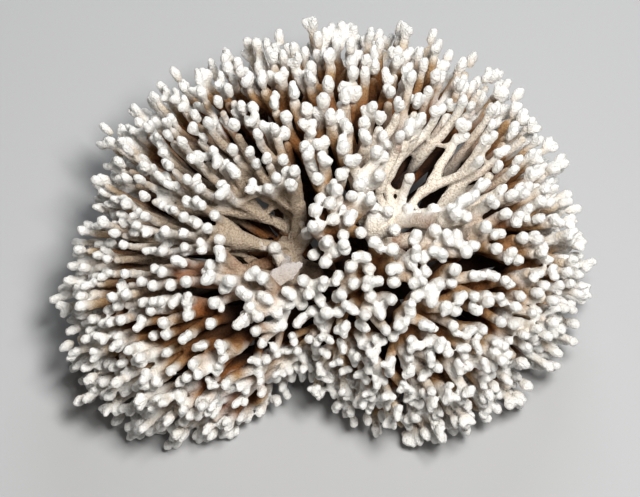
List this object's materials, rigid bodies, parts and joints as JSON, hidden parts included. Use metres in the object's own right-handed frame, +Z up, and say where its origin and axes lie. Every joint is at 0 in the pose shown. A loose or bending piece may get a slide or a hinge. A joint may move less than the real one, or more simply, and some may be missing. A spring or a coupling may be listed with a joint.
{
  "type": "branching coral",
  "caption": "Dried branching coral colony: a low notched dome of blunt forking fingers on a holdfast cut off flat, for display.",
  "frame": {"origin": "centre of the flat cut under the holdfast", "axes": "+Z up out of the crown of the dome, +X across the widest side, +Y towards the back, with the notch at the front towards -Y"},
  "size_m": [0.2487, 0.2072, 0.1276],
  "materials": {
    "fingers": "matte, fine grained, bleached white tips on beige shafts",
    "core": "matte, fine grained, stained tan brown"
  },
  "bodies": {
    "root": {"holdfast": "core", "limb_01": "core", "limb_02": "core", "limb_03": "core", "limb_04": "core", "limb_05": "core", "limb_06": "core", "limb_07": "core", "limb_08": "core", "limb_09": "core", "limb_10": "core", "limb_11": "core", "branch_01": "fingers", "branch_02": "fingers", "branch_03": "fingers", "branch_04": "fingers", "branch_05": "fingers", "branch_06": "fingers", "branch_07": "fingers", "branch_08": "fingers", "branch_09": "fingers", "branch_10": "fingers", "branch_11": "fingers", "branch_12": "fingers", "branch_13": "fingers", "branch_14": "fingers", "branch_15": "fingers", "branch_16": "fingers", "branch_17": "fingers", "branch_18": "fingers", "branch_19": "fingers", "branch_20": "fingers", "branch_21": "fingers", "branch_22": "fingers", "branch_23": "fingers", "branch_24": "fingers", "branch_25": "fingers", "branch_26": "fingers", "branch_27": "fingers", "branch_28": "fingers", "branch_29": "fingers", "branch_30": "fingers", "branch_31": "fingers", "branch_32": "fingers", "branch_33": "fingers", "branch_34": "fingers", "branch_35": "fingers", "branch_36": "fingers", "branch_37": "fingers", "branch_38": "fingers", "branch_39": "fingers", "branch_40": "fingers", "branch_41": "fingers", "branch_42": "fingers", "branch_43": "fingers", "branch_44": "fingers", "branch_45": "fingers", "branch_46": "fingers", "branch_47": "fingers"}
  },
  "joints": []
}
